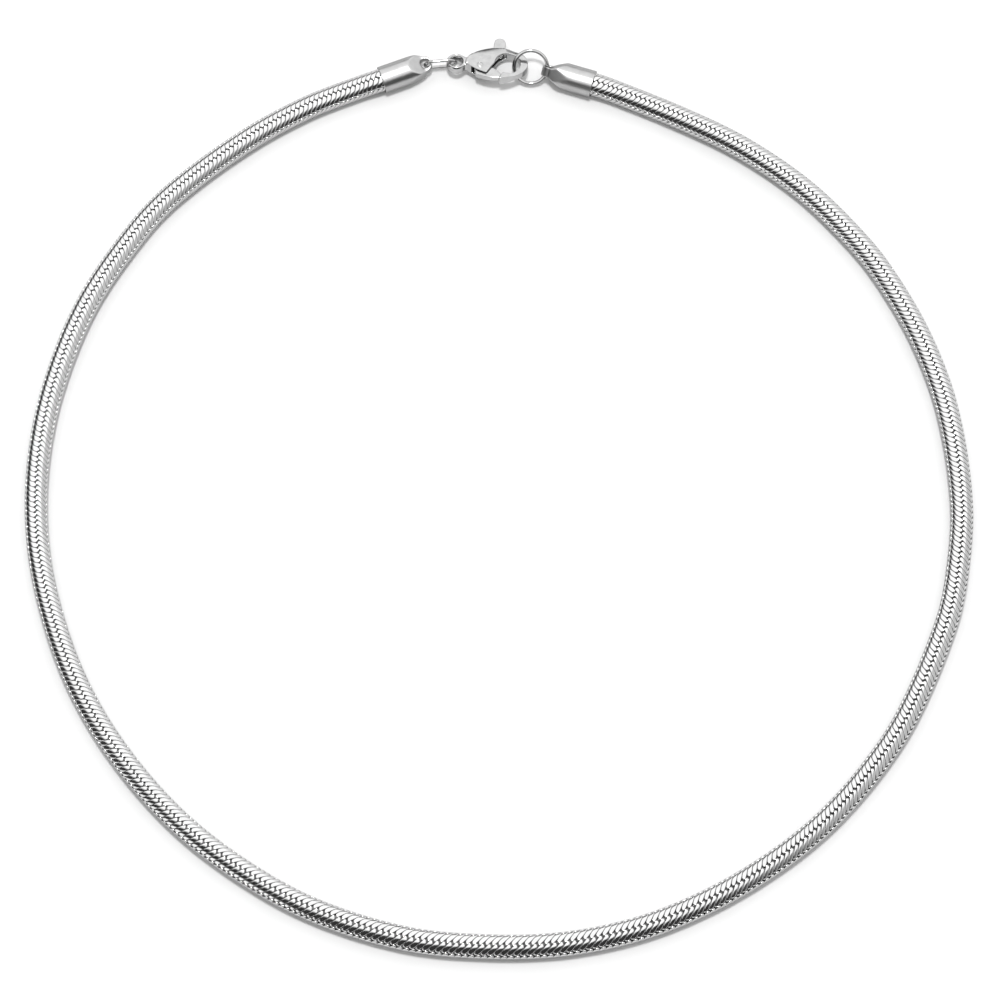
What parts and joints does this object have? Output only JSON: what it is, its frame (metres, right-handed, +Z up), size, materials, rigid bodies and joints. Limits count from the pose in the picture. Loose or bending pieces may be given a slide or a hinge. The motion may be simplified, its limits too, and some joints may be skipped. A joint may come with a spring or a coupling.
{
  "type": "snake chain necklace",
  "caption": "Round snake chain necklace with tube end caps and a lobster clasp, fastened and lying flat as a whole loop.",
  "frame": {"origin": "on the surface that the necklace lies on, at the middle of its outline", "axes": "+Z up out of the loop's plane, +Y from the front of the necklace to the clasp, +X to the right as seen from above"},
  "size_m": [0.1496, 0.1506, 0.0046],
  "materials": {
    "chain": "polished steel plates set edge to edge round a dark core",
    "end_cap": "bright polished stainless steel, pressed to a flat nose",
    "ring": "bright polished steel wire",
    "clasp": "bright polished cast steel",
    "lever": "bright polished steel"
  },
  "bodies": {
    "necklace": {"chain": "chain", "end_cap_left": "end_cap", "end_cap_right": "end_cap", "connector_link": "ring", "clasp_body": "clasp", "pivot_pin": "lever", "jump_ring": "ring"},
    "lever": {"clasp_lever": "lever"}
  },
  "joints": [
    {"name": "lever_hinge", "type": "hinge", "parent": "necklace", "child": "lever", "pos_m": [-0.003, 0.06948, 0.00274], "axis": [0, 0.342, 0.9397], "range_deg": [0, 20], "stiffness_Nm_per_rad": 0.0002, "springref_deg": -9.74}
  ]
}
